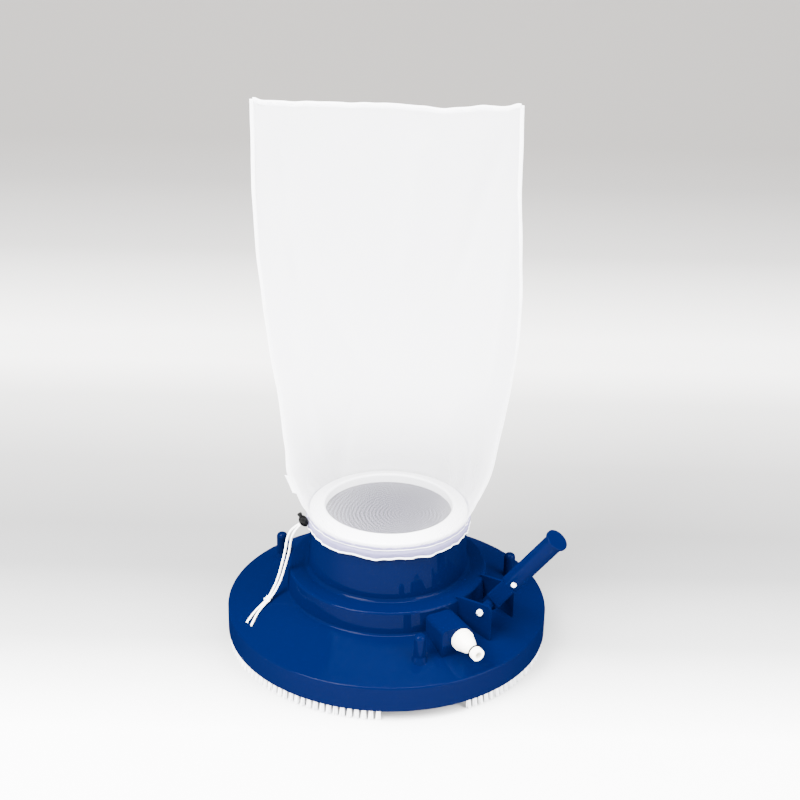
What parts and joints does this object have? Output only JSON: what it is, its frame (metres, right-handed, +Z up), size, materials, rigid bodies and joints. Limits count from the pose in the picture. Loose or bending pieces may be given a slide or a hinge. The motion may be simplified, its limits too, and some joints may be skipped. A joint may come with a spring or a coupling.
{
  "type": "pool leaf vacuum",
  "caption": "Round pool leaf vacuum head with a skirt of brushes and casters, a hose inlet, a folding pole handle and a tall drawstring mesh bag over its throat.",
  "frame": {"origin": "on the floor under the middle of the throat", "axes": "+Z up the throat and the bag; +X towards the folding handle; +Y to the left of someone behind the handle"},
  "size_m": [0.4171, 0.38, 0.64],
  "materials": {
    "blue_plastic": "moulded, slightly glossy",
    "white_plastic": "moulded, glossy",
    "ivory_plastic": "moulded, glossy",
    "grey_plastic": "moulded, matte",
    "black_plastic": "moulded, satin",
    "grey_mesh": "fine woven mesh",
    "white_mesh": "fine knitted mesh",
    "white_cord": "braided",
    "bristle": "nylon filament",
    "rubber_black": "matte",
    "stainless_steel": "plain"
  },
  "bodies": {
    "head": {"head_shell": "blue_plastic", "hose_connector": "ivory_plastic", "connector_o_ring": "rubber_black", "connector_seal": "rubber_black", "jet_ring": "grey_plastic", "jet_nozzles": "grey_plastic", "inlet_pipe": "grey_plastic", "ring_screws": "stainless_steel", "throat_collar": "white_plastic", "throat_screen": "grey_mesh", "screen_clamp_ring": "grey_plastic", "brush_strip_front": "blue_plastic", "brush_strip_left": "blue_plastic", "brush_strip_right": "blue_plastic", "bristles_front": "bristle", "bristles_left": "bristle", "bristles_right": "bristle", "strip_screws": "stainless_steel", "pivot_bolt": "white_plastic", "pivot_nut": "white_plastic", "pivot_spacer_left": "blue_plastic", "pivot_spacer_right": "blue_plastic", "bag_front": "white_mesh", "bag_back": "white_mesh", "drawstring": "white_cord", "blank_label": "white_cord", "cord_lock_body": "black_plastic", "cord_lock_spring": "stainless_steel", "cord_tail_left": "white_cord", "cord_tail_right": "white_cord", "cord_knot": "white_cord"},
    "handle": {"handle": "blue_plastic", "handle_cap": "blue_plastic", "spring_clip_block": "grey_plastic"},
    "lock_button_left": {"lock_button_left": "white_plastic"},
    "lock_button_right": {"lock_button_right": "white_plastic"},
    "cord_lock_button": {"cord_lock_button": "black_plastic"},
    "caster_fork_right": {"caster_fork_right": "grey_plastic", "caster_axle_right": "stainless_steel"},
    "caster_wheel_right": {"caster_wheel_right": "grey_plastic"},
    "caster_fork_left": {"caster_fork_left": "grey_plastic", "caster_axle_left": "stainless_steel"},
    "caster_wheel_left": {"caster_wheel_left": "grey_plastic"},
    "caster_fork_rear": {"caster_fork_rear": "grey_plastic", "caster_axle_rear": "stainless_steel"},
    "caster_wheel_rear": {"caster_wheel_rear": "grey_plastic"}
  },
  "joints": [
    {"name": "handle_fold", "type": "hinge", "parent": "head", "child": "handle", "pos_m": [0.142, 0, 0.087], "axis": [0, -1, 0], "range_deg": [-50, 41]},
    {"name": "press_button_right", "type": "hinge", "parent": "handle", "child": "lock_button_right", "pos_m": [0.18845, -0.0018, 0.14433], "axis": [0.8059, 0, -0.592], "range_deg": [0, 4.5], "stiffness_Nm_per_rad": 1, "springref_deg": -1.72},
    {"name": "press_button_left", "type": "hinge", "parent": "handle", "child": "lock_button_left", "pos_m": [0.18845, 0.0018, 0.14433], "axis": [-0.8059, 0, 0.592], "range_deg": [0, 4.5], "stiffness_Nm_per_rad": 1, "springref_deg": -1.72},
    {"name": "release_cord_lock", "type": "slide", "parent": "head", "child": "cord_lock_button", "axis": [0.3961, 0.233, -0.8882], "range_m": [0, 0.003], "stiffness_N_per_m": 300, "springref_m": -0.001, "deforming": ["cord_lock_spring"]},
    {"name": "caster_swivel_right", "type": "hinge", "parent": "head", "child": "caster_fork_right", "pos_m": [0.10819, -0.10819, 0.05], "axis": [0, 0, 1], "continuous": true},
    {"name": "caster_roll_right", "type": "hinge", "parent": "caster_fork_right", "child": "caster_wheel_right", "pos_m": [0.09919, -0.10819, 0.015], "axis": [0, 1, 0], "continuous": true},
    {"name": "caster_swivel_left", "type": "hinge", "parent": "head", "child": "caster_fork_left", "pos_m": [0.10819, 0.10819, 0.05], "axis": [0, 0, 1], "continuous": true},
    {"name": "caster_roll_left", "type": "hinge", "parent": "caster_fork_left", "child": "caster_wheel_left", "pos_m": [0.09919, 0.10819, 0.015], "axis": [0, 1, 0], "continuous": true},
    {"name": "caster_swivel_rear", "type": "hinge", "parent": "head", "child": "caster_fork_rear", "pos_m": [-0.153, 0, 0.05], "axis": [0, 0, 1], "continuous": true},
    {"name": "caster_roll_rear", "type": "hinge", "parent": "caster_fork_rear", "child": "caster_wheel_rear", "pos_m": [-0.162, 0, 0.015], "axis": [0, 1, 0], "continuous": true}
  ]
}
